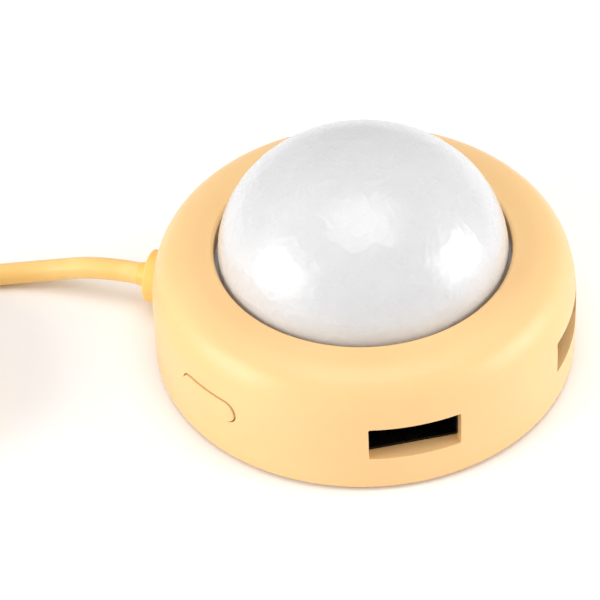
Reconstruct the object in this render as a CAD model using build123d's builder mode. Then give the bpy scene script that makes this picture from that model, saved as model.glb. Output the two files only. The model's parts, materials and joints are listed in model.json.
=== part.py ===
from build123d import *
import math
import os

# A round USB hub with a night-light dome: four USB-A ports, a lamp button and a captive cable.
# Millimetres. +Z is up and the origin is the middle of the anti-slip pad's underside.
# Every azimuth is in degrees from +X, counter-clockwise seen from above.

# ---- driving dimensions -------------------------------------------------------------------

body_radius = 30.0
crest_height = 18.8
shoulder_start = 7.5
shoulder_power = 3.15
wall = 1.8
pad_stand = 0.4
rim_radius = 20.9
rim_round = 0.5
foot_round = 0.8

dome_radius = 20.4
dome_rise = 16.6
dome_top = 34.2
dome_wall = 1.4
diffuser_gap = 0.1
diffuser_wall = 1.0

port_azimuths = (-90.5, -28.5, 28.5, 90.5)
cable_azimuth = 150
button_azimuth = 210
boss_azimuth = 0
post_azimuth = 60

port_height = 8.9
slot_width = 12.9
slot_height = 5.4
slot_corner = 0.3
socket_face = 27.5
socket_lift = 0.25
socket_width = 13.1
socket_height = 5.7
socket_depth = 12.0
sheet = 0.3

base_thickness = 1.8
board_thickness = 1.6
board_radius = 26.4

cable_diameter = 3.2
cable_height = 5.3

# ---- heights and places that follow from them ------------------------------------------------

inner_radius = body_radius - wall
ceiling = crest_height - wall
dome_equator = dome_top - dome_rise
dome_inner_radius = dome_radius - dome_wall
base_top = pad_stand + base_thickness
socket_centre = port_height + socket_lift
board_top = socket_centre - socket_height / 2
board_bottom = board_top - board_thickness
cable_radius = cable_diameter / 2
slit = 0.1
fit_gap = 0.2

lip_outer = 22.2
lip_bottom = 16.2
flange_thickness = 1.2
flange_bottom = lip_bottom - flange_thickness
clamp_thickness = 1.8
clamp_bottom = flange_bottom - clamp_thickness
clamp_radius = 22.5
tray_floor = 1.0
tray_floor_top = clamp_bottom + tray_floor
tray_radius = 19.2
lamp_board_thickness = 1.0
lamp_board_bottom = clamp_bottom - lamp_board_thickness

boss_circle = 25.2
boss_radius = 2.3
post_circle = 24.6
post_radius = 2.0
boss_top = 16.9
pilot_radius = 0.75
pilot_depth = 3.0
boss_pilot_depth = 7.0
post_pilot_depth = 1.8
screw_hole_radius = 1.0

os.makedirs("parts", exist_ok=True)


# ---- helpers ---------------------------------------------------------------------------------


def save(piece, name):
    """Label one finished piece and write its STEP file."""
    piece.part.label = name
    export_step(piece.part, f"parts/{name}.step")


def facing_plane(azimuth, origin):
    """A plane that looks level towards an azimuth: local X runs sideways and local Y up."""
    angle = math.radians(azimuth)
    outward = (math.cos(angle), math.sin(angle), 0)
    sideways = (-math.sin(angle), math.cos(angle), 0)
    return Plane(origin=origin, x_dir=sideways, z_dir=outward)


def outward_plane(azimuth, distance, height):
    """A facing plane at a distance from the body's axis and a height above the table."""
    angle = math.radians(azimuth)
    return facing_plane(azimuth, (distance * math.cos(angle), distance * math.sin(angle), height))


def level_plane(azimuth, height):
    """A level plane whose local X points outward along an azimuth."""
    angle = math.radians(azimuth)
    return Plane(origin=(0, 0, height), x_dir=(math.cos(angle), math.sin(angle), 0), z_dir=(0, 0, 1))


def shoulder_points(wall_radius, crest_radius, height):
    """Points of the superellipse that turns an upright wall over into a level crest."""
    steps = 6
    points = []
    for step in range(steps + 1):
        angle = math.pi / 2 * step / steps
        inward = abs(math.cos(angle)) ** (2 / shoulder_power)
        upward = math.sin(angle) ** (2 / shoulder_power)
        radius = crest_radius + (wall_radius - crest_radius) * inward
        points.append((radius, shoulder_start + (height - shoulder_start) * upward))
    return points


def corner_radii(points):
    """The largest useful radius at each corner of a cable's route."""
    vectors = [Vector(*point) for point in points]
    runs = [after - before for before, after in zip(vectors, vectors[1:])]
    radii = []
    for before, after in zip(runs, runs[1:]):
        half_turn = math.radians(before.get_angle(after) / 2)
        radii.append(0.45 * min(before.length, after.length) / math.tan(half_turn))
    return radii


def screws(head_planes, head_radius, head_height, shank_radius, shank_length):
    """Equal cross-head screws: each head starts on its plane and the shank runs on past it."""
    cross_length = 1.1 * head_radius
    cross_width = 0.25 * head_radius
    with BuildPart() as group:
        with BuildSketch(*head_planes):
            Circle(head_radius)
        extrude(amount=head_height)
        with BuildSketch(*head_planes):
            Rectangle(cross_length, cross_width)
            Rectangle(cross_width, cross_length)
        extrude(amount=head_height / 2, mode=Mode.SUBTRACT)
        with BuildSketch(*[plane.offset(head_height) for plane in head_planes]):
            Circle(shank_radius)
        extrude(amount=shank_length)
    return group


def ring_planes(circle, azimuth, height, upward=True):
    """Level planes at three even places round the body's axis."""
    facing = (0, 0, 1) if upward else (0, 0, -1)
    turns = [math.radians(azimuth + 120 * place) for place in range(3)]
    places = [(circle * math.cos(turn), circle * math.sin(turn), height) for turn in turns]
    return [Plane(origin=place, x_dir=(1, 0, 0), z_dir=facing) for place in places]


# ---- housing ---------------------------------------------------------------------------------

strain_hole_radius = 2.15

button_height = 9.1
button_length = 10.3
button_width = 3.4
button_gap = 0.2
frame_width = 15.2
frame_height = 7.2
frame_depth = 1.0

# every opening in the wall is cut from inside the shell to just outside it
cut_start = inner_radius - 2.0
cut_depth = body_radius + 1.0 - cut_start

with BuildPart() as outer_shell:
    with BuildSketch(Plane.XZ):
        with BuildLine():
            outer = shoulder_points(body_radius, rim_radius + rim_round, crest_height)
            inner = shoulder_points(inner_radius, lip_outer, ceiling)
            Line((inner_radius, pad_stand), (body_radius - foot_round, pad_stand))
            CenterArc((body_radius - foot_round, pad_stand + foot_round), foot_round, -90, 90)
            Line((body_radius, pad_stand + foot_round), outer[0])
            Spline(*outer, tangents=[(0, 1), (-1, 0)])
            CenterArc((rim_radius + rim_round, crest_height - rim_round), rim_round, 90, 90)
            Line((rim_radius, crest_height - rim_round), (rim_radius, lip_bottom))
            Line((rim_radius, lip_bottom), (lip_outer, lip_bottom))
            Line((lip_outer, lip_bottom), inner[-1])
            Spline(*inner, tangents=[(0, 1), (-1, 0)])
            Line(inner[0], (inner_radius, pad_stand))
        make_face()
    revolve(axis=Axis.Z)

    # bosses for the base screws and posts for the dome clamp hang from the ceiling
    with BuildSketch(level_plane(boss_azimuth, base_top)):
        with PolarLocations(boss_circle, 3):
            Circle(boss_radius)
    extrude(amount=boss_top - base_top)
    with BuildSketch(level_plane(post_azimuth, flange_bottom)):
        with PolarLocations(post_circle, 3):
            Circle(post_radius)
    extrude(amount=boss_top - flange_bottom)
    with BuildSketch(level_plane(boss_azimuth, base_top)):
        with PolarLocations(boss_circle, 3):
            Circle(pilot_radius)
    extrude(amount=boss_pilot_depth, mode=Mode.SUBTRACT)
    with BuildSketch(level_plane(post_azimuth, flange_bottom)):
        with PolarLocations(post_circle, 3):
            Circle(pilot_radius)
    extrude(amount=post_pilot_depth, mode=Mode.SUBTRACT)

    # a flat frame inside the wall meets each socket's face
    with BuildSketch(*[outward_plane(azimuth, socket_face, port_height) for azimuth in port_azimuths]):
        Rectangle(frame_width, frame_height)
    extrude(amount=frame_depth)

    # four plug slots, each with a shallow pocket that lets the socket's face sit flat
    with BuildSketch(*[outward_plane(azimuth, cut_start, port_height) for azimuth in port_azimuths]):
        RectangleRounded(slot_width, slot_height, slot_corner)
    extrude(amount=cut_depth, mode=Mode.SUBTRACT)
    with BuildSketch(*[outward_plane(azimuth, cut_start, socket_centre) for azimuth in port_azimuths]):
        Rectangle(socket_width + 2 * slit, socket_height + 2 * slit)
    extrude(amount=socket_face - cut_start, mode=Mode.SUBTRACT)

    # the cable's hole and the button's hole
    with BuildSketch(outward_plane(cable_azimuth, cut_start, cable_height)):
        Circle(strain_hole_radius)
    extrude(amount=cut_depth, mode=Mode.SUBTRACT)
    with BuildSketch(outward_plane(button_azimuth, cut_start, button_height)):
        SlotOverall(button_length + 2 * button_gap, button_width + 2 * button_gap)
    extrude(amount=cut_depth, mode=Mode.SUBTRACT)
save(outer_shell, "outer_shell")

# ---- base ------------------------------------------------------------------------------------

base_radius = inner_radius - 0.15
pad_radius = 21.5
pad_thickness = 0.8
pad_recess = pad_thickness - pad_stand
standoff_circle = 11.0
standoff_radius = 2.2
rim_wall = 1.2
rim_height = 1.4
clamp_distance = 22.5
clamp_post_offset = 3.6
clamp_post_radius = 1.5
clamp_bar_bottom = cable_height + cable_radius
clamp_pilot_radius = 0.6
cable_gap_width = 9.0
cable_gap_depth = 8.0
boss_clearance = 0.6
head_recess = 1.1
head_recess_radius = 1.9
pad_chamfer = 0.2

with BuildPart() as base_cover:
    with BuildSketch(Plane.XY.offset(pad_stand)):
        Circle(base_radius)
    extrude(amount=base_thickness)
    # a low rim centres the cover in the shell and makes room for the bosses and the cable
    with BuildSketch(Plane.XY.offset(base_top)):
        Circle(base_radius)
        Circle(base_radius - rim_wall, mode=Mode.SUBTRACT)
        with PolarLocations(boss_circle, 3):
            Circle(boss_radius + boss_clearance, mode=Mode.SUBTRACT)
        with Locations(Location((0, 0, 0), (0, 0, cable_azimuth))):
            with Locations((base_radius, 0)):
                Rectangle(cable_gap_depth, cable_gap_width, mode=Mode.SUBTRACT)
    extrude(amount=rim_height)
    with BuildSketch(Plane.XY.offset(base_top)):
        with PolarLocations(standoff_circle, 3):
            Circle(standoff_radius)
    extrude(amount=board_bottom - base_top)
    with BuildSketch(level_plane(cable_azimuth, base_top)):
        with Locations((clamp_distance, clamp_post_offset), (clamp_distance, -clamp_post_offset)):
            Circle(clamp_post_radius)
    extrude(amount=clamp_bar_bottom - base_top)
    # pilot holes, screw holes with head recesses, and the pad's shallow recess
    with BuildSketch(Plane.XY.offset(board_bottom)):
        with PolarLocations(standoff_circle, 3):
            Circle(pilot_radius)
    extrude(amount=-pilot_depth, mode=Mode.SUBTRACT)
    with BuildSketch(level_plane(cable_azimuth, clamp_bar_bottom)):
        with Locations((clamp_distance, clamp_post_offset), (clamp_distance, -clamp_post_offset)):
            Circle(clamp_pilot_radius)
    extrude(amount=-pilot_depth, mode=Mode.SUBTRACT)
    with BuildSketch(Plane.XY.offset(pad_stand)):
        with PolarLocations(boss_circle, 3):
            Circle(screw_hole_radius)
    extrude(amount=base_thickness, mode=Mode.SUBTRACT)
    with BuildSketch(Plane.XY.offset(pad_stand)):
        with PolarLocations(boss_circle, 3):
            Circle(head_recess_radius)
    extrude(amount=head_recess, mode=Mode.SUBTRACT)
    with BuildSketch(Plane.XY.offset(pad_stand)):
        Circle(pad_radius + slit)
    extrude(amount=pad_recess, mode=Mode.SUBTRACT)
save(base_cover, "base_cover")

with BuildPart() as anti_slip_pad:
    with BuildSketch(Plane.XY):
        Circle(pad_radius)
    extrude(amount=pad_thickness)
    chamfer(anti_slip_pad.edges().group_by(Axis.Z)[0], pad_chamfer)
save(anti_slip_pad, "anti_slip_pad")

head_inset = 0.15
base_head_radius = 1.7
base_head_height = head_recess - head_inset
base_shank_length = 6.4
base_head_planes = ring_planes(boss_circle, boss_azimuth, pad_stand + head_inset)
base_screws = screws(base_head_planes, base_head_radius, base_head_height, pilot_radius, base_shank_length)
save(base_screws, "base_screws")

# ---- lamp ------------------------------------------------------------------------------------


def dome_points(radius, rise):
    """Points of a quarter ellipse from the dome's widest ring up to its top."""
    steps = 6
    turns = [math.pi / 2 * step / steps for step in range(steps + 1)]
    return [(abs(radius * math.cos(turn)), dome_equator + rise * math.sin(turn)) for turn in turns]


def dome_shell(radius, rise, skirt_bottom, thickness):
    """A domed cover: a round cap over a short upright skirt."""
    outside = dome_points(radius, rise)
    inside = dome_points(radius - thickness, rise - thickness)
    with BuildPart() as dome:
        with BuildSketch(Plane.XZ):
            with BuildLine():
                Line((radius, skirt_bottom), outside[0])
                Spline(*outside, tangents=[(0, 1), (-1, 0)])
                Line((0, outside[-1][1]), (0, inside[-1][1]))
                Spline(*inside, tangents=[(0, 1), (-1, 0)])
                Line(inside[0], (radius - thickness, skirt_bottom))
                Line((radius - thickness, skirt_bottom), (radius, skirt_bottom))
            make_face()
        revolve(axis=Axis.Z)
    return dome


with BuildPart() as dome_cover:
    add(dome_shell(dome_radius, dome_rise, flange_bottom, dome_wall).part)
    with BuildSketch(Plane.XY.offset(flange_bottom)):
        Circle(clamp_radius - slit)
        Circle(dome_radius - dome_wall / 2, mode=Mode.SUBTRACT)
    extrude(amount=flange_thickness)
save(dome_cover, "dome_cover")

diffuser_radius = dome_inner_radius - diffuser_gap
diffuser_rise = dome_rise - dome_wall - diffuser_gap

ripple_diffuser = dome_shell(diffuser_radius, diffuser_rise, tray_floor_top, diffuser_wall)
save(ripple_diffuser, "ripple_diffuser")

tray_step = 1.0
ear_reach = 3.0
ear_width = 2 * post_radius + 0.4

with BuildPart() as dome_clamp_ring:
    with BuildSketch(Plane.XY.offset(clamp_bottom)):
        Circle(clamp_radius)
        with Locations(Location((0, 0, 0), (0, 0, post_azimuth))):
            with PolarLocations(post_circle - ear_reach / 2, 3):
                SlotCenterToCenter(ear_reach, ear_width)
        with Locations(Location((0, 0, 0), (0, 0, post_azimuth))):
            with PolarLocations(post_circle, 3):
                Circle(screw_hole_radius, mode=Mode.SUBTRACT)
        Circle(tray_radius + fit_gap, mode=Mode.SUBTRACT)
    extrude(amount=clamp_thickness)
    with BuildSketch(Plane.XY.offset(tray_floor_top)):
        Circle(tray_radius + tray_step + fit_gap)
    extrude(amount=clamp_thickness - tray_floor, mode=Mode.SUBTRACT)
save(dome_clamp_ring, "dome_clamp_ring")

ring_head_radius = 1.6
ring_head_height = 1.0
ring_shank_length = clamp_thickness + 1.6
ring_head_planes = ring_planes(post_circle, post_azimuth, clamp_bottom - ring_head_height)
clamp_ring_screws = screws(
    ring_head_planes, ring_head_radius, ring_head_height, pilot_radius, ring_shank_length
)
save(clamp_ring_screws, "clamp_ring_screws")

led_circle = 9.0
led_count = 6
led_length = 3.5
led_width = 2.8
led_thickness = 0.9
led_window_gap = 0.8
tray_wall = 0.8
lamp_board_gap = 0.2
lamp_resistor_length = 1.6
lamp_resistor_width = 0.8
lamp_resistor_thickness = 0.4

with BuildPart() as reflector_tray:
    with BuildSketch(Plane.XY.offset(clamp_bottom)):
        Circle(tray_radius)
        with PolarLocations(led_circle, led_count):
            Rectangle(led_length + led_window_gap, led_width + led_window_gap, mode=Mode.SUBTRACT)
    extrude(amount=tray_floor)
    with BuildSketch(Plane.XY.offset(tray_floor_top)):
        Circle(tray_radius + tray_step)
        Circle(diffuser_radius + fit_gap, mode=Mode.SUBTRACT)
    extrude(amount=clamp_thickness - tray_floor)
    with BuildSketch(Plane.XY.offset(clamp_bottom)):
        Circle(tray_radius)
        Circle(tray_radius - tray_wall, mode=Mode.SUBTRACT)
    extrude(amount=-lamp_board_thickness)
save(reflector_tray, "reflector_tray")

with BuildPart() as lamp_board:
    with BuildSketch(Plane.XY.offset(lamp_board_bottom)):
        Circle(tray_radius - tray_wall - lamp_board_gap)
    extrude(amount=lamp_board_thickness)
save(lamp_board, "lamp_board")

with BuildPart() as lamp_leds:
    with BuildSketch(Plane.XY.offset(clamp_bottom)):
        with PolarLocations(led_circle, led_count):
            Rectangle(led_length, led_width)
    extrude(amount=led_thickness)
save(lamp_leds, "lamp_leds")

with BuildPart() as lamp_resistors:
    with BuildSketch(Plane.XY.offset(lamp_board_bottom)):
        with GridLocations(3, 0, 3, 1):
            Rectangle(lamp_resistor_width, lamp_resistor_length)
    extrude(amount=-lamp_resistor_thickness)
save(lamp_resistors, "lamp_resistors")

# ---- hub board and what is soldered to it ------------------------------------------------------

leg_offset = socket_width / 2 - sheet / 2
leg_distance = 22.5
leg_length = 2.4
notch_width = 10.6
notch_start = 17.0
notch_length = 12.0
board_hole_radius = 1.1
hole_gap = 0.6

with BuildPart() as hub_board:
    with BuildSketch(Plane.XY.offset(board_bottom)):
        Circle(board_radius)
        with PolarLocations(boss_circle, 3):
            Circle(boss_radius + 2 * fit_gap, mode=Mode.SUBTRACT)
        with PolarLocations(standoff_circle, 3):
            Circle(board_hole_radius, mode=Mode.SUBTRACT)
        for azimuth in port_azimuths:
            with Locations(Location((0, 0, 0), (0, 0, azimuth))):
                with Locations((leg_distance, leg_offset), (leg_distance, -leg_offset)):
                    Rectangle(leg_length + hole_gap, sheet + hole_gap, mode=Mode.SUBTRACT)
        with Locations(Location((0, 0, 0), (0, 0, cable_azimuth))):
            with Locations((notch_start, 0)):
                Rectangle(
                    notch_length, notch_width, align=(Align.MIN, Align.CENTER), mode=Mode.SUBTRACT
                )
    extrude(amount=board_thickness)
save(hub_board, "hub_board")

board_head_radius = 1.8
board_head_height = 1.2
board_shank_length = board_thickness + 2.4
board_head_planes = ring_planes(
    standoff_circle, boss_azimuth, board_top + board_head_height, upward=False
)
board_screws = screws(
    board_head_planes, board_head_radius, board_head_height, pilot_radius, board_shank_length
)
save(board_screws, "board_screws")

chip_length = 10.0
chip_width = 3.9
chip_height = 1.4
chip_lift = 0.15
chip_chamfer = 0.25
chip_leg_pitch = 1.27
chip_leg_count = 8
chip_leg_width = 0.45

with BuildPart() as hub_chip:
    with BuildSketch(Plane.XY.offset(board_top + chip_lift)):
        Rectangle(chip_length, chip_width)
    extrude(amount=chip_height)
    chamfer(hub_chip.edges().group_by(Axis.Z)[-1], chip_chamfer)
save(hub_chip, "hub_chip")

# each leg is a flat foot and an upright: (reach from the chip's side, length, height)
chip_leg_pieces = ((0.6, 0.8, 0.2), (0.1, 0.2, 0.8))

with BuildPart() as hub_chip_legs:
    for side in (-1, 1):
        for reach, length, height in chip_leg_pieces:
            with BuildSketch(Plane.XY.offset(board_top)):
                with Locations((0, side * (chip_width / 2 + reach))):
                    with GridLocations(chip_leg_pitch, 0, chip_leg_count, 1):
                        Rectangle(chip_leg_width, length)
            extrude(amount=height)
save(hub_chip_legs, "hub_chip_legs")

crystal_place = (3.0, -7.5)
crystal_length = 9.6
crystal_width = 4.2
crystal_height = 3.2
can_places = ((3.5, 8.0), (10.0, 7.0))
can_radius = 2.0
can_height = 4.6
can_round = 0.4
resistor_place = (10.5, -6.2)
resistor_pitch = (2.4, 1.8)
resistor_length = 1.6
resistor_width = 0.8
resistor_height = 0.45

with BuildPart() as crystal:
    with BuildSketch(Plane.XY.offset(board_top)):
        with Locations(crystal_place):
            SlotOverall(crystal_length, crystal_width)
    extrude(amount=crystal_height)
    fillet(crystal.edges().group_by(Axis.Z)[-1], can_round)
save(crystal, "crystal")

with BuildPart() as can_capacitors:
    with BuildSketch(Plane.XY.offset(board_top)):
        with Locations(*can_places):
            Circle(can_radius)
    extrude(amount=can_height)
    fillet(can_capacitors.edges().group_by(Axis.Z)[-1], can_round)
save(can_capacitors, "can_capacitors")

with BuildPart() as chip_resistors:
    with BuildSketch(Plane.XY.offset(board_top)):
        with Locations(resistor_place):
            with GridLocations(*resistor_pitch, 2, 3):
                Rectangle(resistor_length, resistor_width)
    extrude(amount=resistor_height)
save(chip_resistors, "chip_resistors")

connector_x = -9.0
connector_length = 4.0
connector_width = 6.0
connector_height = 3.5
lead_pitch = 2.0
lead_radius = 0.45
lead_hole_radius = 0.5
lead_hole_depth = 1.0
lead_bottom = board_top + connector_height - lead_hole_depth

with BuildPart() as lamp_connector:
    with BuildSketch(Plane.XY.offset(board_top)):
        with Locations((connector_x, 0)):
            Rectangle(connector_length, connector_width)
    extrude(amount=connector_height)
    with BuildSketch(Plane.XY.offset(lead_bottom)):
        with Locations((connector_x, 0)):
            with GridLocations(0, lead_pitch, 1, 2):
                Circle(lead_hole_radius)
    extrude(amount=lead_hole_depth, mode=Mode.SUBTRACT)
save(lamp_connector, "lamp_connector")

with BuildPart() as lamp_leads:
    with BuildSketch(Plane.XY.offset(lead_bottom)):
        with Locations((connector_x, 0)):
            with GridLocations(0, lead_pitch, 1, 2):
                Circle(lead_radius)
    extrude(amount=lamp_board_bottom - lead_bottom)
save(lamp_leads, "lamp_leads")

# ---- USB-A sockets ---------------------------------------------------------------------------

socket_back = socket_face - socket_depth
socket_inner_width = socket_width - 2 * sheet
socket_inner_height = socket_height - 2 * sheet
tongue_width = 11.2
tongue_thickness = 1.9
tongue_centre = socket_centre + 1.1
tongue_setback = 2.0
block_depth = 2.5
contact_offsets = (-3.5, -1.0, 1.0, 3.5)
contact_width = 1.0
contact_thickness = 0.2
socket_contact_length = 6.4
socket_corner = 0.5
socket_inner_corner = 0.25
leg_drop = 2.4

for number, azimuth in enumerate(port_azimuths, start=1):
    with BuildPart() as socket_shell:
        with BuildSketch(outward_plane(azimuth, socket_back, socket_centre)):
            RectangleRounded(socket_width, socket_height, socket_corner)
        extrude(amount=socket_depth)
        with BuildSketch(outward_plane(azimuth, socket_back + sheet, socket_centre)):
            RectangleRounded(socket_inner_width, socket_inner_height, socket_inner_corner)
        extrude(amount=socket_depth, mode=Mode.SUBTRACT)
        with BuildSketch(level_plane(azimuth, socket_centre)):
            with Locations((leg_distance, leg_offset), (leg_distance, -leg_offset)):
                Rectangle(leg_length, sheet)
        extrude(amount=-(socket_height / 2 + leg_drop))
    save(socket_shell, f"usb_port_{number}_shell")

    with BuildPart() as socket_tongue:
        with BuildSketch(outward_plane(azimuth, socket_back + sheet, socket_centre)):
            RectangleRounded(socket_inner_width - slit, socket_inner_height - slit, slot_corner)
        extrude(amount=block_depth)
        with BuildSketch(outward_plane(azimuth, socket_back + sheet, tongue_centre)):
            Rectangle(tongue_width, tongue_thickness)
        extrude(amount=socket_depth - sheet - tongue_setback)
    save(socket_tongue, f"usb_port_{number}_tongue")

    with BuildPart() as socket_contacts:
        contact_height = tongue_centre - (tongue_thickness + contact_thickness) / 2
        with BuildSketch(outward_plane(azimuth, socket_back + sheet + block_depth, contact_height)):
            for sideways in contact_offsets:
                with Locations((sideways, 0)):
                    Rectangle(contact_width, contact_thickness)
        extrude(amount=socket_contact_length)
    save(socket_contacts, f"usb_port_{number}_contacts")

# ---- lamp switch and its button ----------------------------------------------------------------

switch_face = 25.0
button_travel = 0.4
button_flange_face = inner_radius - 0.9
button_flange_thickness = 0.9
button_flange_margin = 1.2
button_proud = 0.25
button_round = 0.2
plunger_gap = 0.3
plunger_width = 3.0
plunger_height = 1.6
plunger_depth = 2.2
switch_width = 6.2
switch_height = 4.6
switch_depth = 3.6
plunger_tip = button_flange_face - button_flange_thickness

with BuildPart() as switch_body:
    with BuildSketch(outward_plane(button_azimuth, switch_face, board_top + switch_height / 2)):
        Rectangle(switch_width, switch_height)
    extrude(amount=-switch_depth)
    with BuildSketch(outward_plane(button_azimuth, switch_face, button_height)):
        Rectangle(plunger_width + plunger_gap, plunger_height + plunger_gap)
    extrude(amount=-(plunger_depth + button_travel + fit_gap), mode=Mode.SUBTRACT)
save(switch_body, "switch_body")

with BuildPart() as switch_plunger:
    with BuildSketch(outward_plane(button_azimuth, switch_face - plunger_depth, button_height)):
        Rectangle(plunger_width, plunger_height)
    extrude(amount=plunger_tip - switch_face + plunger_depth)
save(switch_plunger, "switch_plunger")

with BuildPart() as button_cap:
    with BuildSketch(outward_plane(button_azimuth, button_flange_face, button_height)):
        SlotOverall(button_length, button_width)
    extrude(amount=body_radius + button_proud - button_flange_face)
    # the cap's face follows the round wall and stands a little proud of it
    with BuildSketch(Plane.XY):
        Circle(body_radius + button_proud)
    extrude(amount=crest_height, mode=Mode.INTERSECT)
    button_outward = outward_plane(button_azimuth, 0, 0).z_dir
    button_face = button_cap.faces().sort_by(Axis((0, 0, 0), button_outward))[-1]
    fillet(button_face.edges(), button_round)
    with BuildSketch(outward_plane(button_azimuth, plunger_tip, button_height)):
        SlotOverall(button_length + button_flange_margin, button_width + button_flange_margin)
    extrude(amount=button_flange_thickness)
save(button_cap, "button_cap")

# ---- strain relief and the cable inside the hub --------------------------------------------------

collar_radius = 3.9
collar_stand = 2.4
collar_round = 0.4
neck_radius = 2.05
flare_length = 1.6
flare_radius = 1.95
grommet_flange_face = inner_radius - 0.3
grommet_flange_thickness = 1.5
grommet_flange_radius = 3.0
grommet_inner_end = grommet_flange_face - grommet_flange_thickness
collar_face = body_radius + collar_stand
flare_end_radius = cable_radius + 0.05
jacket_end = 19.0
away_from_hub = outward_plane(cable_azimuth, 0, 0).z_dir

with BuildPart() as strain_relief:
    with BuildSketch(outward_plane(cable_azimuth, body_radius - 1, cable_height)):
        Circle(collar_radius)
    extrude(amount=collar_stand + 1)
    outer_face = strain_relief.faces().sort_by(Axis((0, 0, 0), away_from_hub))[-1]
    fillet(outer_face.edges(), collar_round)
    # the collar's back follows the round wall
    with BuildSketch(Plane.XY):
        Circle(body_radius)
    extrude(amount=crest_height, mode=Mode.SUBTRACT)
    with BuildSketch(outward_plane(cable_azimuth, grommet_inner_end, cable_height)):
        Circle(neck_radius)
    extrude(amount=collar_face - collar_round - grommet_inner_end)
    with BuildSketch(outward_plane(cable_azimuth, grommet_inner_end, cable_height)):
        Circle(grommet_flange_radius)
    extrude(amount=grommet_flange_thickness)
    with BuildSketch(outward_plane(cable_azimuth, collar_face, cable_height)):
        Circle(flare_radius)
    with BuildSketch(outward_plane(cable_azimuth, collar_face + flare_length, cable_height)):
        Circle(flare_end_radius)
    loft()
save(strain_relief, "strain_relief")

with BuildPart() as inner_cable:
    with BuildSketch(outward_plane(cable_azimuth, jacket_end, cable_height)):
        Circle(cable_radius)
    extrude(amount=grommet_inner_end - jacket_end)
save(inner_cable, "inner_cable")

clamp_bar_length = 10.0
clamp_bar_width = 3.0
clamp_bar_thickness = 1.2
clamp_hole_radius = 0.8
clamp_head_radius = 1.2
clamp_head_height = 0.8
clamp_shank_length = 3.4

with BuildPart() as cable_clamp:
    with BuildSketch(level_plane(cable_azimuth, clamp_bar_bottom)):
        with Locations((clamp_distance, 0)):
            SlotOverall(clamp_bar_length, clamp_bar_width, rotation=90)
        with Locations((clamp_distance, clamp_post_offset), (clamp_distance, -clamp_post_offset)):
            Circle(clamp_hole_radius, mode=Mode.SUBTRACT)
    extrude(amount=clamp_bar_thickness)
save(cable_clamp, "cable_clamp")

clamp_head_top = clamp_bar_bottom + clamp_bar_thickness + clamp_head_height
clamp_screw_planes = []
for side in (-1, 1):
    screw_place = Vector(clamp_distance, side * clamp_post_offset, 0)
    head_centre = level_plane(cable_azimuth, clamp_head_top).from_local_coords(screw_place)
    clamp_screw_planes.append(Plane(head_centre, z_dir=(0, 0, -1)))
cable_clamp_screws = screws(
    clamp_screw_planes, clamp_head_radius, clamp_head_height, clamp_pilot_radius, clamp_shank_length
)
save(cable_clamp_screws, "cable_clamp_screws")

core_count = 4
core_radius = 0.33
core_pitch = 0.72
core_spread = 1.0
core_lift = 1.6
core_bend = 0.5
pad_distance = 13.5

with BuildPart() as cable_cores:
    core_plane = level_plane(cable_azimuth, 0)
    for place in range(core_count):
        from_middle = place - (core_count - 1) / 2
        bunched = from_middle * core_pitch
        sideways = from_middle * core_spread
        core_points = [
            (jacket_end, bunched, cable_height),
            (jacket_end - 0.9, bunched, cable_height),
            (jacket_end - 1.7, sideways, board_top + core_lift),
            (pad_distance, sideways, board_top + core_lift),
            (pad_distance, sideways, board_top),
        ]
        with BuildLine() as core_line:
            core_route = [core_plane.from_local_coords(Vector(*point)) for point in core_points]
            FilletPolyline(*core_route, radius=core_bend)
        with BuildSketch(Plane(origin=core_line.line @ 0, z_dir=core_line.line % 0)):
            Circle(core_radius)
        sweep()
save(cable_cores, "cable_cores")

# ---- cable outside the hub -----------------------------------------------------------------------

# The route from the strain relief to the put-away coil. It dips to the table within 25 mm.
free_route = [
    (-29.45, 17.01, 5.30),
    (-34.90, 20.15, 5.30),
    (-42.00, 24.10, 2.70),
    (-50.20, 26.50, 1.60),
    (-60.30, 27.50, 1.60),
    (-70.00, 28.40, 1.60),
]

# The route from the coil's top down to the plug, which lies beside the coil.
tail_route = [
    (-80.00, 29.30, 7.90),
    (-88.50, 29.00, 7.20),
    (-97.20, 25.20, 5.60),
    (-103.40, 18.20, 4.30),
    (-106.40, 9.40, 3.75),
    (-106.80, 0.60, 3.75),
]

coil_centre = (-79.0, 8.0)
coil_mean_radius = 18.0
coil_width = 3 * cable_diameter
coil_height = 3 * cable_diameter
coil_turns = 8
tie_width = 6.0
tie_thickness = 0.5
tie_azimuth = 200
tie_margin = 2.0
tie_corner = 1.2
groove_length = coil_width + 3.0
groove_width = tie_width + fit_gap


def cable_tube(route, name):
    """A tube of straight runs and tangent arcs along a route."""
    radii = corner_radii(route)
    with BuildPart() as tube:
        with BuildLine() as line:
            FilletPolyline(*route, radius=radii)
        with BuildSketch(Plane(origin=line.line @ 0, z_dir=line.line % 0)):
            Circle(cable_radius)
        sweep()
    save(tube, name)
    length = line.wire().length
    section_times_length = math.pi * cable_radius**2 * length
    print(name, "radii", [round(radius, 1) for radius in radii])
    print(name, "length", round(length, 1))
    print(name, "volume", round(tube.part.volume, 1), "expected", round(section_times_length, 1))
    return length


free_length = cable_tube(free_route, "cable_free")
tail_length = cable_tube(tail_route, "cable_tail")
coil_length = coil_turns * 2 * math.pi * coil_mean_radius
print("whole cable", round(free_length + coil_length + tail_length, 1))

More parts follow.
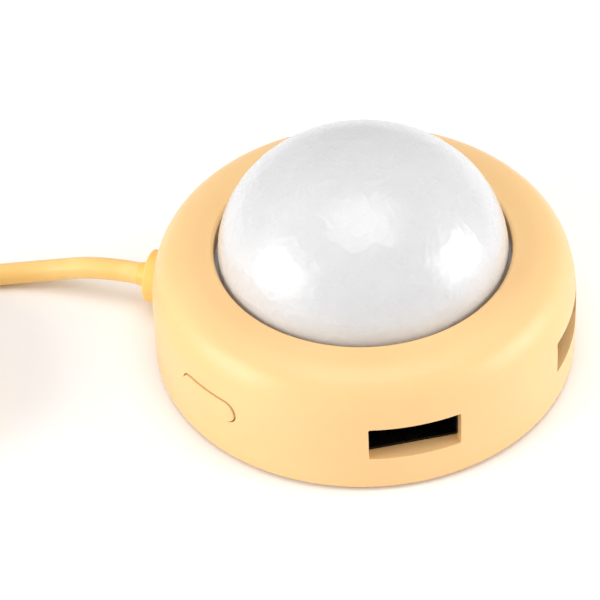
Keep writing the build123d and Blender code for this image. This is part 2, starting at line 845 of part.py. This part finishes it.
with BuildPart() as cable_coil:
    with BuildSketch(Plane.XZ.offset(-coil_centre[1])):
        with Locations((coil_centre[0] + coil_mean_radius, coil_height / 2)):
            RectangleRounded(coil_width, coil_height, cable_radius)
    revolve(axis=Axis((coil_centre[0], coil_centre[1], 0), (0, 0, 1)))
    # a shallow groove under the coil leaves room for the tie
    with BuildSketch(Plane(origin=(*coil_centre, 0), x_dir=level_plane(tie_azimuth, 0).x_dir)):
        with Locations((coil_mean_radius, 0)):
            Rectangle(groove_length, groove_width)
    extrude(amount=tie_thickness + slit, mode=Mode.SUBTRACT)
save(cable_coil, "cable_coil")

with BuildPart() as cable_tie:
    tie_height = coil_height + tie_thickness + slit
    tie_centre = facing_plane(tie_azimuth, (*coil_centre, tie_height / 2))
    tie_section = Plane(
        origin=tie_centre.origin + tie_centre.z_dir * coil_mean_radius,
        x_dir=tie_centre.z_dir,
        z_dir=tie_centre.x_dir,
    )
    with BuildSketch(tie_section):
        RectangleRounded(coil_width + tie_margin, tie_height, tie_corner)
        offset(amount=-tie_thickness, mode=Mode.SUBTRACT)
    extrude(amount=tie_width / 2, both=True)
save(cable_tie, "cable_tie")

# ---- plug ----------------------------------------------------------------------------------------

plug_azimuth = 267.4
plug_neck_length = 8.0
plug_neck_start = cable_radius + 0.25
plug_neck_end = cable_radius + 0.9
plug_neck_overlap = 0.7
plug_body_length = 20.0
plug_body_width = 13.0
plug_body_height = 7.5
plug_body_corner = 2.0
plug_body_round = 0.6
plug_shell_length = 12.0
plug_shell_width = 12.0
plug_shell_height = 4.5
plug_shell_corner = 0.6
plug_tongue_thickness = 1.8
plug_tongue_setback = 0.3
plug_contact_setback = 1.6
window_side = 2.4
window_offset = 2.6
window_distance = 7.2


def plug_plane(distance, lift=0.0):
    """A plane across the plug, at a distance from the end of the cable."""
    start = facing_plane(plug_azimuth, tail_route[-1])
    return facing_plane(plug_azimuth, start.origin + start.z_dir * distance + Vector(0, 0, lift))


plug_body_end = plug_neck_length + plug_body_length
plug_tongue_lift = plug_tongue_thickness / 2 + sheet + slit - plug_shell_height / 2

with BuildPart() as plug_body:
    with BuildSketch(plug_plane(plug_neck_length)):
        RectangleRounded(plug_body_width, plug_body_height, plug_body_corner)
    extrude(amount=plug_body_length)
    fillet(plug_body.edges().filter_by(GeomType.LINE, reverse=True), plug_body_round)
    with BuildSketch(plug_plane(0)):
        Circle(plug_neck_start)
    with BuildSketch(plug_plane(plug_neck_length + plug_neck_overlap)):
        Circle(plug_neck_end)
    loft()
save(plug_body, "plug_body")

with BuildPart() as plug_shell:
    with BuildSketch(plug_plane(plug_body_end)):
        RectangleRounded(plug_shell_width, plug_shell_height, plug_shell_corner)
        offset(amount=-sheet, mode=Mode.SUBTRACT)
    extrude(amount=plug_shell_length)
    # two windows on each broad side, where a socket's springs catch
    with BuildSketch(Plane(origin=plug_plane(plug_body_end).origin, x_dir=plug_plane(0).x_dir)):
        with GridLocations(2 * window_offset, 2 * window_distance, 2, 2):
            Rectangle(window_side, window_side)
    extrude(amount=plug_shell_height, both=True, mode=Mode.SUBTRACT)
save(plug_shell, "plug_shell")

with BuildPart() as plug_tongue:
    with BuildSketch(plug_plane(plug_body_end, plug_tongue_lift)):
        Rectangle(plug_shell_width - 2 * sheet - 2 * slit, plug_tongue_thickness)
    extrude(amount=plug_shell_length - plug_tongue_setback)
save(plug_tongue, "plug_tongue")

with BuildPart() as plug_contacts:
    contact_lift = plug_tongue_lift + (plug_tongue_thickness + contact_thickness) / 2
    with BuildSketch(plug_plane(plug_body_end, contact_lift)):
        for sideways in contact_offsets:
            with Locations((sideways, 0)):
                Rectangle(contact_width, contact_thickness)
    extrude(amount=plug_shell_length - plug_contact_setback)
save(plug_contacts, "plug_contacts")
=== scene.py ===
import json
import math

import bmesh
import bpy
from mathutils import Matrix, Vector, noise


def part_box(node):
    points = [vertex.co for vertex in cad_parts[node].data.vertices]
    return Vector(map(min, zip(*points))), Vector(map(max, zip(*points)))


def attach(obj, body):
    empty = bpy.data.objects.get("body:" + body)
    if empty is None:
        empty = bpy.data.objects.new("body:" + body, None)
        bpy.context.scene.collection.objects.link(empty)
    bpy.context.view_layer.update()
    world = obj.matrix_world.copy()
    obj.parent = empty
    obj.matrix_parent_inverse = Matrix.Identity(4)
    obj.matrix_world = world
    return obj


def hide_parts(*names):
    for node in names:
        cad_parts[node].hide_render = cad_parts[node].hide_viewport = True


# A round USB hub with a lamp dome. Metres, in the CAD frame: +Z up, the origin under the pad.

MM = 0.001

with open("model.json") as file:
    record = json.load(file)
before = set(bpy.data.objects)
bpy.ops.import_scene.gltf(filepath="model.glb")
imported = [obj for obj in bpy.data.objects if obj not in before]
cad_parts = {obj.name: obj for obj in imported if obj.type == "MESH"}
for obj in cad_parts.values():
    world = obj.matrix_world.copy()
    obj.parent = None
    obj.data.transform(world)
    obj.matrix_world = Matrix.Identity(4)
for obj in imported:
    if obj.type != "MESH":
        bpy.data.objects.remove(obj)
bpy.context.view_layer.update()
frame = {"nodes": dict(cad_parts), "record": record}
nodes = frame["nodes"]
record = frame["record"]

# ---- sizes read from the frame -----------------------------------------------------------------

dome_low, dome_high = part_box("dome_cover")

# ---- camera ------------------------------------------------------------------------------------

CAMERA_TARGET = Vector((-10.77, -7.27, 17.0)) * MM
CAMERA_DISTANCE = 413.4 * MM
CAMERA_AZIMUTH = -11.5
CAMERA_ELEVATION = 42.453
CAMERA_ROLL = -2.526
CAMERA_LENS = 180.0


def make_camera():
    """The camera stands off its target along an azimuth and elevation, with a slight roll."""
    azimuth = math.radians(CAMERA_AZIMUTH)
    elevation = math.radians(CAMERA_ELEVATION)
    turn = Matrix.Rotation(azimuth, 3, "Z")
    ahead = turn @ Vector((0, math.cos(elevation), -math.sin(elevation)))
    level = turn @ Vector((1, 0, 0))
    upward = level.cross(ahead)
    roll = Matrix.Rotation(math.radians(CAMERA_ROLL), 3, -ahead)
    axes = Matrix((roll @ level, roll @ upward, -ahead)).transposed()
    data = bpy.data.cameras.new("camera")
    data.lens = CAMERA_LENS
    data.sensor_width = 36.0
    data.clip_start = 0.01
    data.clip_end = 10.0
    camera = bpy.data.objects.new("camera", data)
    camera.matrix_world = Matrix.Translation(CAMERA_TARGET - ahead * CAMERA_DISTANCE) @ axes.to_4x4()
    bpy.context.collection.objects.link(camera)
    bpy.context.scene.camera = camera


make_camera()

# ---- cable -------------------------------------------------------------------------------------

CABLE_DIAMETER = 3.2
COIL_CENTRE = (-79.0, 8.0)
COIL_RADII = (14.8, 18.0, 21.2)
COIL_LAYERS = (1.6, 4.8, 8.0)
POINTS_PER_TURN = 18
COIL_START = 84.6
STEP_OVER_FROM = 0.7
TIE_DIRECTION = 200.0
TIE_REACH = 40.0
TIE_LIFT = 0.5

# The route from the strain relief to the coil, in millimetres.
FREE_ROUTE = [
    (-29.45, 17.01, 5.30),
    (-34.90, 20.15, 5.30),
    (-42.00, 24.10, 2.70),
    (-50.20, 26.50, 1.60),
    (-60.30, 27.50, 1.60),
    (-70.00, 28.40, 1.60),
]

# The route from the top of the coil down to the plug.
TAIL_ROUTE = [
    (-88.50, 29.00, 7.20),
    (-97.20, 25.20, 5.60),
    (-103.40, 18.20, 4.30),
    (-106.40, 9.40, 3.75),
    (-106.80, 0.60, 3.75),
]


def eased(share):
    """A share from 0 to 1 that starts and ends level."""
    return share * share * (3 - 2 * share)


def lift_in_tie(angle, height):
    """How far a strand rises to clear the strap under it. The top layer stays where it is."""
    away = abs((math.degrees(angle) - TIE_DIRECTION + 180) % 360 - 180)
    window = eased(max(0.0, 1 - away / TIE_REACH))
    low, _, high = COIL_LAYERS
    return TIE_LIFT * window * (high - height) / (high - low)


def coil_points():
    """Eight turns on three layers: in across the first, out across the second, in over the third."""
    inner, middle, outer = COIL_RADII
    low, mid, high = COIL_LAYERS
    stations = [
        (outer, low), (middle, low), (inner, low),
        (inner, mid), (middle, mid), (outer, mid),
        (middle, high), (outer, high),
    ]
    start_angle = math.radians(COIL_START)
    step = 2 * math.pi / POINTS_PER_TURN
    points = []
    for turn, (radius, height) in enumerate(stations):
        after = stations[min(turn + 1, len(stations) - 1)]
        for place in range(POINTS_PER_TURN):
            share = place / POINTS_PER_TURN
            move = eased(max(0.0, (share - STEP_OVER_FROM) / 0.3))
            along = start_angle + (turn * POINTS_PER_TURN + place) * step
            reach = radius + (after[0] - radius) * move
            level = height + (after[1] - height) * move
            level += lift_in_tie(along, level)
            x = COIL_CENTRE[0] + reach * math.cos(along)
            y = COIL_CENTRE[1] + reach * math.sin(along)
            points.append((x, y, level))
    return points


def nurbs_object(name, points, radius):
    """An open NURBS tube through control points in millimetres.

    The points carry the tube's radius and the bevel is 1, so the curve's box fits its tube.
    """
    curve = bpy.data.curves.new(name, "CURVE")
    curve.dimensions = "3D"
    curve.bevel_depth = 1.0
    curve.bevel_resolution = 6
    curve.resolution_u = 8
    curve.use_fill_caps = True
    spline = curve.splines.new("NURBS")
    spline.points.add(len(points) - 1)
    for point, place in zip(spline.points, points):
        point.co = (*(value * MM for value in place), 1.0)
        point.radius = radius * MM
    spline.order_u = 3
    spline.use_endpoint_u = True
    piece = bpy.data.objects.new(name, curve)
    bpy.context.collection.objects.link(piece)
    return piece


cable = nurbs_object("hub_cable", FREE_ROUTE + coil_points() + TAIL_ROUTE, CABLE_DIAMETER / 2)
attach(cable, "hub")
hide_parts("cable_free", "cable_coil", "cable_tail")

# ---- materials ---------------------------------------------------------------------------------


def srgb(red, green, blue):
    """A colour given as 0-255 screen values, in linear light."""
    return tuple(((value / 255 + 0.055) / 1.055) ** 2.4 for value in (red, green, blue)) + (1.0,)


class Finish:
    """A procedural material: a Principled shader with colour, roughness and bump fed by noise."""

    def __init__(self, name, roughness, **sockets):
        self.material = bpy.data.materials.new(name)
        self.material.use_nodes = True
        self.tree = self.material.node_tree
        self.shader = self.tree.nodes["Principled BSDF"]
        self.shader.inputs["Roughness"].default_value = roughness
        for socket, value in sockets.items():
            self.shader.inputs[socket.replace("_", " ")].default_value = value
        self.place = self.tree.nodes.new("ShaderNodeTexCoord").outputs["Object"]
        self.height = None

    def noise(self, scale, detail=2.0, stretch=(1, 1, 1)):
        """A noise value, its scale given in cells per metre."""
        mapping = self.tree.nodes.new("ShaderNodeMapping")
        mapping.inputs["Scale"].default_value = stretch
        self.tree.links.new(self.place, mapping.inputs["Vector"])
        texture = self.tree.nodes.new("ShaderNodeTexNoise")
        texture.inputs["Scale"].default_value = scale
        texture.inputs["Detail"].default_value = detail
        self.tree.links.new(mapping.outputs["Vector"], texture.inputs["Vector"])
        return texture.outputs["Fac"]

    def spread(self, value, low, high, start=0.3, end=0.7):
        """Maps a noise value onto a range."""
        node = self.tree.nodes.new("ShaderNodeMapRange")
        node.inputs["From Min"].default_value = start
        node.inputs["From Max"].default_value = end
        node.inputs["To Min"].default_value = low
        node.inputs["To Max"].default_value = high
        self.tree.links.new(value, node.inputs["Value"])
        return node.outputs["Result"]

    def colours(self, value, first, second, start=0.35, end=0.65):
        """The base colour runs from one colour to another over a value."""
        ramp = self.tree.nodes.new("ShaderNodeValToRGB")
        ramp.color_ramp.elements[0].position = start
        ramp.color_ramp.elements[0].color = first
        ramp.color_ramp.elements[1].position = end
        ramp.color_ramp.elements[1].color = second
        self.tree.links.new(value, ramp.inputs["Fac"])
        self.tree.links.new(ramp.outputs["Color"], self.shader.inputs["Base Color"])
        return self

    def rough(self, value, low, high):
        """The roughness wanders between two values."""
        self.tree.links.new(self.spread(value, low, high), self.shader.inputs["Roughness"])
        return self

    def bump(self, value, depth):
        """Raises the surface by a depth in millimetres. Several bumps add up."""
        node = self.tree.nodes.new("ShaderNodeBump")
        node.inputs["Strength"].default_value = 1.0
        node.inputs["Distance"].default_value = depth * MM
        self.tree.links.new(value, node.inputs["Height"])
        if self.height is not None:
            self.tree.links.new(self.height, node.inputs["Normal"])
        self.height = node.outputs["Normal"]
        self.tree.links.new(self.height, self.shader.inputs["Normal"])
        return self


def moulded_plastic(name, light, dark, roughness, grain_depth):
    """Spark-grained moulded plastic with a faint drift of colour and gloss."""
    finish = Finish(name, roughness, IOR=1.46)
    finish.colours(finish.noise(55, 3), dark, light)
    finish.rough(finish.noise(900, 2), roughness - 0.05, roughness + 0.05)
    finish.bump(finish.noise(120, 2), 0.012)
    finish.bump(finish.noise(5200, 3), grain_depth)
    return finish


def shell_plastic():
    """The hub's pale apricot plastic, slightly translucent."""
    finish = moulded_plastic("shell_plastic", srgb(241, 199, 140), srgb(238, 195, 135), 0.38, 0.004)
    finish.shader.inputs["Subsurface Weight"].default_value = 0.12
    finish.shader.inputs["Subsurface Radius"].default_value = (1.0, 0.55, 0.25)
    finish.shader.inputs["Subsurface Scale"].default_value = 1.2 * MM
    return finish.material


def milky_plastic():
    """The dome's milky white, glossy plastic."""
    finish = Finish("dome_milky", 0.3, IOR=1.49, Subsurface_Weight=0.4, Coat_Weight=0.7)
    finish.shader.inputs["Subsurface Radius"].default_value = (1.0, 1.0, 1.0)
    finish.shader.inputs["Subsurface Scale"].default_value = 1.5 * MM
    finish.shader.inputs["Coat Roughness"].default_value = 0.3
    finish.colours(finish.noise(90, 3), srgb(207, 207, 208), srgb(213, 213, 214))
    finish.rough(finish.noise(400, 3), 0.22, 0.36)
    finish.bump(finish.noise(900, 2), 0.004)
    return finish.material


def diffuser_plastic():
    """White translucent plastic under the dome."""
    finish = Finish("diffuser_white", 0.3, IOR=1.49, Subsurface_Weight=0.35)
    finish.shader.inputs["Subsurface Radius"].default_value = (1.0, 1.0, 1.0)
    finish.shader.inputs["Subsurface Scale"].default_value = 1.5 * MM
    finish.colours(finish.noise(70, 3), srgb(236, 237, 240), srgb(248, 248, 249))
    finish.rough(finish.noise(400, 3), 0.24, 0.4)
    finish.bump(finish.noise(2600, 2), 0.003)
    return finish.material


def cable_jacket():
    """Smooth soft PVC, a little deeper in colour than the shell."""
    finish = Finish("cable_jacket", 0.42, IOR=1.5)
    finish.colours(finish.noise(140, 3), srgb(246, 200, 118), srgb(251, 211, 136))
    finish.rough(finish.noise(1200, 3), 0.36, 0.5)
    finish.bump(finish.noise(600, 2), 0.01)
    finish.bump(finish.noise(5200, 2), 0.003)
    return finish.material


def collar_plastic():
    """The strain relief's softer, deeper orange moulding."""
    finish = Finish("collar_plastic", 0.45, IOR=1.5, Subsurface_Weight=0.15)
    finish.shader.inputs["Subsurface Radius"].default_value = (1.0, 0.5, 0.2)
    finish.shader.inputs["Subsurface Scale"].default_value = 1.0 * MM
    finish.colours(finish.noise(150, 3), srgb(250, 192, 100), srgb(254, 202, 112))
    finish.rough(finish.noise(1500, 3), 0.4, 0.52)
    finish.bump(finish.noise(4600, 2), 0.004)
    return finish.material


def metal(name, light, dark, roughness, stretch=(1, 1, 1), scratch=0.002):
    """Plated sheet or turned metal with fine drawn scratches."""
    finish = Finish(name, roughness, Metallic=1.0)
    finish.colours(finish.noise(300, 4), dark, light)
    finish.rough(finish.noise(2500, 4, stretch), roughness - 0.08, roughness + 0.1)
    finish.bump(finish.noise(6000, 3, stretch), scratch)
    return finish.material


def board(name, light, dark, roughness):
    """Solder mask over tracks that show faintly as raised lines."""
    finish = Finish(name, roughness, IOR=1.5, Coat_Weight=0.3)
    tracks = finish.tree.nodes.new("ShaderNodeTexBrick")
    tracks.inputs["Scale"].default_value = 260
    tracks.inputs["Mortar Size"].default_value = 0.06
    finish.tree.links.new(finish.place, tracks.inputs["Vector"])
    finish.colours(tracks.outputs["Fac"], dark, light, 0.2, 0.8)
    finish.rough(finish.noise(1500, 3), roughness - 0.06, roughness + 0.08)
    finish.bump(tracks.outputs["Fac"], 0.03)
    finish.bump(finish.noise(5000, 2), 0.003)
    return finish.material


def rubber():
    """Matt silicone with a fine orange-peel grain."""
    finish = Finish("pad_rubber", 0.75, IOR=1.42, Sheen_Weight=0.15)
    finish.colours(finish.noise(220, 4), srgb(176, 158, 130), srgb(190, 172, 144))
    finish.rough(finish.noise(1800, 3), 0.68, 0.85)
    finish.bump(finish.noise(2600, 3), 0.02)
    return finish.material


def woven_strap():
    """The woven hook-and-loop strap round the coil."""
    finish = Finish("tie_strap", 0.85, Sheen_Weight=0.4)
    weave = finish.tree.nodes.new("ShaderNodeTexWave")
    weave.bands_direction = "Z"
    weave.inputs["Scale"].default_value = 900
    weave.inputs["Distortion"].default_value = 1.5
    finish.tree.links.new(finish.place, weave.inputs["Vector"])
    finish.colours(finish.noise(2600, 3), srgb(222, 212, 192), srgb(240, 232, 216))
    finish.rough(finish.noise(3000, 3), 0.78, 0.95)
    finish.bump(weave.outputs["Fac"], 0.08)
    finish.bump(finish.noise(4200, 3), 0.05)
    return finish.material


def dark_metal():
    """Black-coated sheet of the sockets."""
    finish = Finish("socket_black_metal", 0.3, Metallic=0.4)
    finish.colours(finish.noise(400, 3), srgb(14, 12, 12), srgb(24, 21, 21))
    finish.rough(finish.noise(3000, 3, (1, 1, 4)), 0.22, 0.42)
    finish.bump(finish.noise(5000, 3), 0.003)
    return finish.material


def small_plastic(name, light, dark, roughness):
    """Plain moulded plastic of the small parts."""
    finish = Finish(name, roughness, IOR=1.5)
    finish.colours(finish.noise(500, 3), dark, light)
    finish.rough(finish.noise(2200, 3), roughness - 0.06, roughness + 0.08)
    finish.bump(finish.noise(5000, 3), 0.004)
    return finish.material


def led_plastic():
    """The lamp's yellow phosphor in a white package."""
    finish = Finish("led_yellow", 0.3, IOR=1.5)
    finish.colours(finish.noise(900, 2), srgb(238, 206, 92), srgb(248, 226, 130))
    finish.bump(finish.noise(3000, 2), 0.01)
    return finish.material


materials = {
    "shell_plastic": shell_plastic(),
    "base_plastic": moulded_plastic(
        "base_plastic", srgb(251, 205, 142), srgb(247, 198, 134), 0.5, 0.006
    ).material,
    "pad_rubber": rubber(),
    "screw_steel": metal("screw_steel", (0.62, 0.62, 0.63, 1), (0.42, 0.42, 0.44, 1), 0.32),
    "dome_milky": milky_plastic(),
    "diffuser_white": diffuser_plastic(),
    "white_plastic": small_plastic("white_plastic", srgb(240, 240, 236), srgb(226, 226, 222), 0.45),
    "white_board": board("white_board", srgb(238, 238, 234), srgb(222, 222, 218), 0.4),
    "led_yellow": led_plastic(),
    "chip_black": small_plastic("chip_black", srgb(40, 40, 42), srgb(24, 24, 26), 0.55),
    "core_wire": small_plastic("core_wire", srgb(196, 48, 40), srgb(160, 30, 26), 0.4),
    "green_board": board("green_board", srgb(28, 92, 52), srgb(16, 66, 36), 0.35),
    "tinned_steel": metal("tinned_steel", (0.8, 0.8, 0.8, 1), (0.62, 0.62, 0.63, 1), 0.22),
    "can_aluminium": metal("can_aluminium", (0.85, 0.85, 0.86, 1), (0.7, 0.7, 0.71, 1), 0.3),
    "switch_black": small_plastic("switch_black", srgb(36, 36, 38), srgb(22, 22, 24), 0.5),
    "cable_jacket": cable_jacket(),
    "tie_strap": woven_strap(),
    "plug_overmold": moulded_plastic(
        "plug_overmold", srgb(252, 206, 130), srgb(247, 196, 116), 0.5, 0.006
    ).material,
    "plug_steel": metal("plug_steel", (0.82, 0.82, 0.83, 1), (0.66, 0.66, 0.67, 1), 0.24, (1, 6, 1)),
    "contact_gold": metal("contact_gold", (0.95, 0.72, 0.3, 1), (0.8, 0.58, 0.22, 1), 0.2),
    "socket_black_metal": dark_metal(),
    "socket_black_plastic": small_plastic(
        "socket_black_plastic", srgb(20, 17, 17), srgb(9, 8, 8), 0.35
    ),
}

slot_of = {part["node"]: part["material_slot"] for part in record["subparts"]}


def dress(piece, material):
    """Gives a piece one material in place of whatever it has."""
    piece.data.materials.clear()
    piece.data.materials.append(material)


for name, node in nodes.items():
    dress(node, materials[slot_of[name]])
dress(nodes["strain_relief"], collar_plastic())
dress(cable, materials["cable_jacket"])

# ---- the lamp's milky dome ---------------------------------------------------------------------------

DOME_RADIUS = 20.4 * MM
DOME_RISE = 16.6 * MM
DOME_WALL = 1.4 * MM
FLANGE_THICKNESS = 1.2 * MM
RIPPLE_DEPTH = 0.055 * MM
SWIRL_SIZE = 6.0 * MM
RIPPLE_SIZE = 3.6 * MM
RIPPLE_SEED = 1
SWIRL_STRENGTH = 1.1
FINE_RIPPLES = 2.3
FINE_SHIFT = Vector((7, 3, 1))
COARSE_SHARE = 0.7
OUTER_SKIN_FROM = 0.98
STEPS_AROUND = 420
OUTER_STEPS = 170
INNER_STEPS = 24
ON_AXIS = 0.001 * MM
SHARP_ANGLE = 40
dome_equator = dome_high[2] - DOME_RISE


def arc(radius, rise, steps):
    """A quarter ellipse from the dome's equator up to its top, as radius and height pairs."""
    angles = [math.pi / 2 * step / steps for step in range(steps + 1)]
    return [(radius * math.cos(angle), dome_equator + rise * math.sin(angle)) for angle in angles]


def revolved(name, profile, shift):
    """A closed solid turned from a profile that starts and ends on the axis, its points then shifted."""
    mesh = bmesh.new()
    rings = []
    for radius, height in profile:
        on_axis = radius < ON_AXIS
        steps = 1 if on_axis else STEPS_AROUND
        ring = []
        for step in range(steps):
            turn = 2 * math.pi * step / STEPS_AROUND
            place = Vector((radius * math.cos(turn), radius * math.sin(turn), height))
            ring.append(mesh.verts.new(shift(place)))
        rings.append(ring)
    for lower, upper in zip(rings, rings[1:]):
        for step in range(STEPS_AROUND):
            following = (step + 1) % STEPS_AROUND
            corners = [
                lower[step % len(lower)],
                lower[following % len(lower)],
                upper[following % len(upper)],
                upper[step % len(upper)],
            ]
            mesh.faces.new(dict.fromkeys(corners))
    bmesh.ops.recalc_face_normals(mesh, faces=mesh.faces)
    data = bpy.data.meshes.new(name)
    mesh.to_mesh(data)
    mesh.free()
    data.shade_smooth()
    data.set_sharp_from_angle(angle=math.radians(SHARP_ANGLE))
    piece = bpy.data.objects.new(name, data)
    bpy.context.collection.objects.link(piece)
    return piece


def ripple_height(place):
    """How far the moulded water ripple stands at a place on the dome, from 0 to 1."""
    swirl = noise.noise_vector(place / SWIRL_SIZE)
    moved = place / RIPPLE_SIZE + swirl * SWIRL_STRENGTH
    ridge = 1 - abs(noise.noise(moved)) * 2
    fine = 1 - abs(noise.noise(moved * FINE_RIPPLES + FINE_SHIFT)) * 2
    return max(0.0, ridge) ** 3 * COARSE_SHARE + max(0.0, fine) ** 3 * (1 - COARSE_SHARE)


def rippled(place):
    """Sinks the dome's outer skin between the ripples. The inside and the flange stay smooth."""
    across = math.hypot(place.x, place.y) / DOME_RADIUS
    upward = (place.z - dome_equator) / DOME_RISE
    on_outer_skin = upward > 0 and math.hypot(across, upward) > OUTER_SKIN_FROM
    if not on_outer_skin:
        return place
    outward = (place - Vector((0, 0, dome_equator))).normalized()
    return place - outward * RIPPLE_DEPTH * (1 - ripple_height(place))


def make_dome():
    """The milky cap with its hidden flange."""
    flange_radius = dome_high[0]
    flange_bottom = dome_low[2]
    flange_top = flange_bottom + FLANGE_THICKNESS
    outside = arc(DOME_RADIUS, DOME_RISE, OUTER_STEPS)
    inside = arc(DOME_RADIUS - DOME_WALL, DOME_RISE - DOME_WALL, INNER_STEPS)
    flange = [
        (DOME_RADIUS - DOME_WALL, flange_bottom),
        (flange_radius, flange_bottom),
        (flange_radius, flange_top),
        (DOME_RADIUS, flange_top),
    ]
    return revolved("ripple_dome", inside[::-1] + flange + outside, rippled)


# Vector noise is seeded from the clock, so a fixed seed keeps the ripples the same each run.
noise.seed_set(RIPPLE_SEED)
ripple_dome = make_dome()
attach(ripple_dome, "hub")
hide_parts("dome_cover")
dress(ripple_dome, materials["dome_milky"])

# ---- floor and light ---------------------------------------------------------------------------

FLOOR_HALF = 3.0
ROOM_BRIGHTNESS = 0.54
LIGHT_TARGET = (0, 0, 0.02)


def make_floor():
    """A plain pale floor far larger than the object."""
    half = FLOOR_HALF
    mesh = bpy.data.meshes.new("floor")
    corners = [(-half, -half, 0), (half, -half, 0), (half, half, 0), (-half, half, 0)]
    mesh.from_pydata(corners, [], [(0, 1, 2, 3)])
    floor = bpy.data.objects.new("floor", mesh)
    bpy.context.collection.objects.link(floor)
    finish = Finish("floor_pale", 0.7)
    finish.colours(finish.noise(6, 2), srgb(250, 250, 250), srgb(252, 252, 252))
    dress(floor, finish.material)


def soft_light(name, place, size, power):
    """A white soft box at a place in metres, facing the hub."""
    data = bpy.data.lights.new(name, "AREA")
    data.shape = "RECTANGLE"
    data.size = size[0]
    data.size_y = size[1]
    data.energy = power
    light = bpy.data.objects.new(name, data)
    light.location = place
    light.rotation_euler = (Vector(LIGHT_TARGET) - Vector(place)).to_track_quat("-Z", "Y").to_euler()
    bpy.context.collection.objects.link(light)


def make_lights():
    """Two low soft boxes at the sides, one overhead, and a white room."""
    soft_light("left_box", (-0.69, -0.1, 0.24), (0.46, 0.42), 3.4)
    soft_light("right_box", (0.66, -0.24, 0.21), (0.46, 0.4), 3.0)
    soft_light("top_box", (0.0, -0.06, 0.95), (0.7, 0.7), 3.9)
    world = bpy.data.worlds.new("white_room")
    world.use_nodes = True
    background = world.node_tree.nodes["Background"]
    background.inputs["Color"].default_value = (1, 1, 1, 1)
    background.inputs["Strength"].default_value = ROOM_BRIGHTNESS
    bpy.context.scene.world = world
    bpy.context.scene.view_settings.view_transform = "Standard"


make_floor()
make_lights()

# ---- final scene update ----------------------------------------------------------------------------

bpy.context.view_layer.update()
